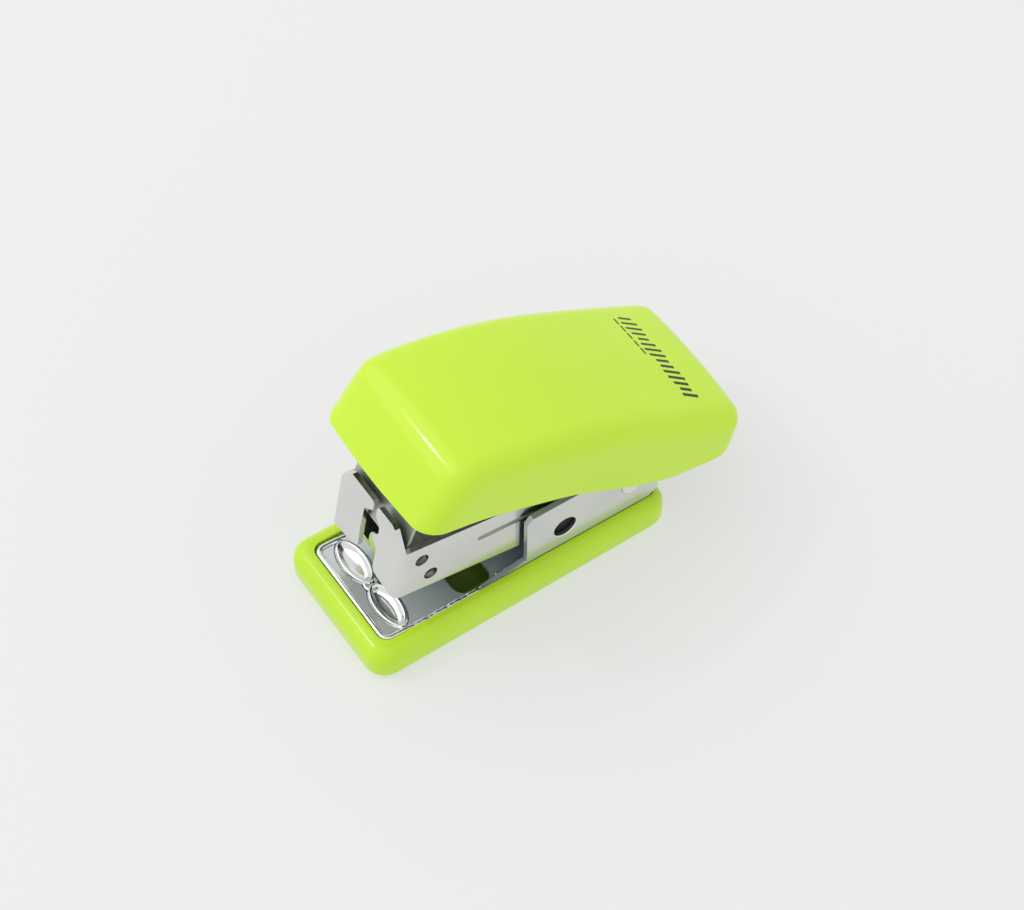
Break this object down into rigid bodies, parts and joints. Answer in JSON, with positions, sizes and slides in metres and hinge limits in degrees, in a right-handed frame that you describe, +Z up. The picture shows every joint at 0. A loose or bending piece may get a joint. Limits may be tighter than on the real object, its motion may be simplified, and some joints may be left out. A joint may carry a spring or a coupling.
{
  "type": "stapler",
  "caption": "Mini desk stapler with a lime plastic handle and base cover, a pressed steel bracket, a hinged staple magazine and a spring-fed pusher.",
  "frame": {"origin": "centre of the base's flat underside, at rest on the desk", "axes": "+Z up, -Y towards the anvil end where the paper goes in, +X to the right seen from the rear, so the hinge runs along X"},
  "size_m": [0.0242, 0.0574, 0.0369],
  "materials": {
    "green_plastic": "gloss",
    "black_plastic": "satin",
    "plated_steel": "bright nickel plate",
    "plain_steel": "satin",
    "spring_steel": "satin",
    "staple_wire": "galvanised"
  },
  "bodies": {
    "base": {"base_cover": "green_plastic", "base_bracket": "plated_steel", "guide_pads": "black_plastic", "anvil": "plated_steel", "pivot_rivet": "plated_steel", "pivot_spacer": "plain_steel", "lift_spring": "spring_steel", "lift_spring_rivet": "plain_steel"},
    "magazine": {"magazine_channel": "plated_steel", "staple_rail": "plain_steel", "rail_rivets": "plain_steel", "staple_strip": "staple_wire", "guide_rod": "plain_steel", "spring_seat": "plain_steel", "pusher_spring": "spring_steel"},
    "pusher_slider": {"pusher": "black_plastic"},
    "handle": {"handle_cover": "green_plastic", "hammer_frame": "plain_steel", "driver_blade": "plain_steel", "blade_rivets": "plain_steel", "handle_spring": "spring_steel", "handle_spring_rivet": "plain_steel"}
  },
  "joints": [
    {"name": "magazine_hinge", "type": "hinge", "parent": "base", "child": "magazine", "pos_m": [0, 0.0178, 0.0104], "axis": [1, 0, 0], "range_deg": [0, 9.5], "stiffness_Nm_per_rad": 0.25, "springref_deg": -8.59, "deforming": ["lift_spring"]},
    {"name": "handle_hinge", "type": "hinge", "parent": "magazine", "child": "handle", "pos_m": [0, 0.0178, 0.0104], "axis": [1, 0, 0], "range_deg": [-32, 11.5], "stiffness_Nm_per_rad": 0.12, "deforming": ["handle_spring"]},
    {"name": "pusher_slide", "type": "slide", "parent": "magazine", "child": "pusher_slider", "axis": [0, 0.9863, -0.165], "range_m": [0, 0.007], "stiffness_N_per_m": 40, "springref_m": -0.008, "deforming": ["pusher_spring"]}
  ]
}
